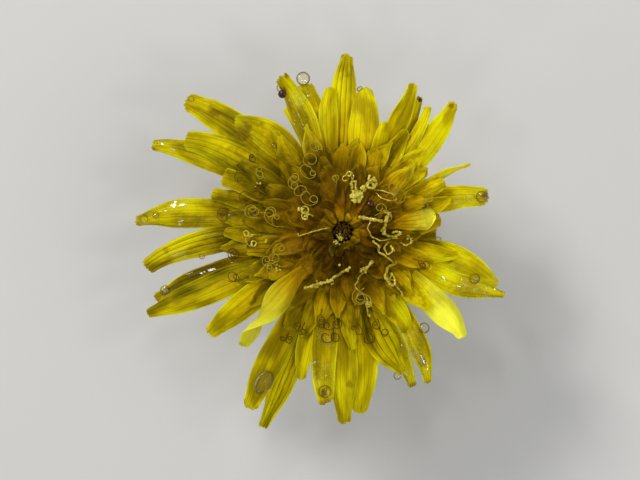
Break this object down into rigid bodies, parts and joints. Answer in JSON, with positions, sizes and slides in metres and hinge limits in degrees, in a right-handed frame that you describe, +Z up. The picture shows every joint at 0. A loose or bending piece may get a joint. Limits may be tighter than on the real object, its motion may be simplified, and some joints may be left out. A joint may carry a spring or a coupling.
{
  "type": "dandelion flower head",
  "caption": "Open dandelion head lying face up: toothed yellow straps in layers, curled styles, a dark middle, upright and bent-back green bracts, and a short hollow stalk end.",
  "frame": {"origin": "on the surface that the head lies on, under the middle of the head's outline", "axes": "+Z up out of the open flower, +X to the right and +Y to the top of the picture, which looks straight down on the flower"},
  "size_m": [0.0375, 0.038, 0.0205],
  "materials": {
    "florets": "soft satin petal, moist",
    "centre_buds": "matt, rough",
    "involucre": "matt green with a slight bloom",
    "scape": "smooth satin"
  },
  "bodies": {
    "root": {"florets": "florets", "centre_buds": "centre_buds", "involucre": "involucre", "scape": "scape"}
  },
  "joints": []
}
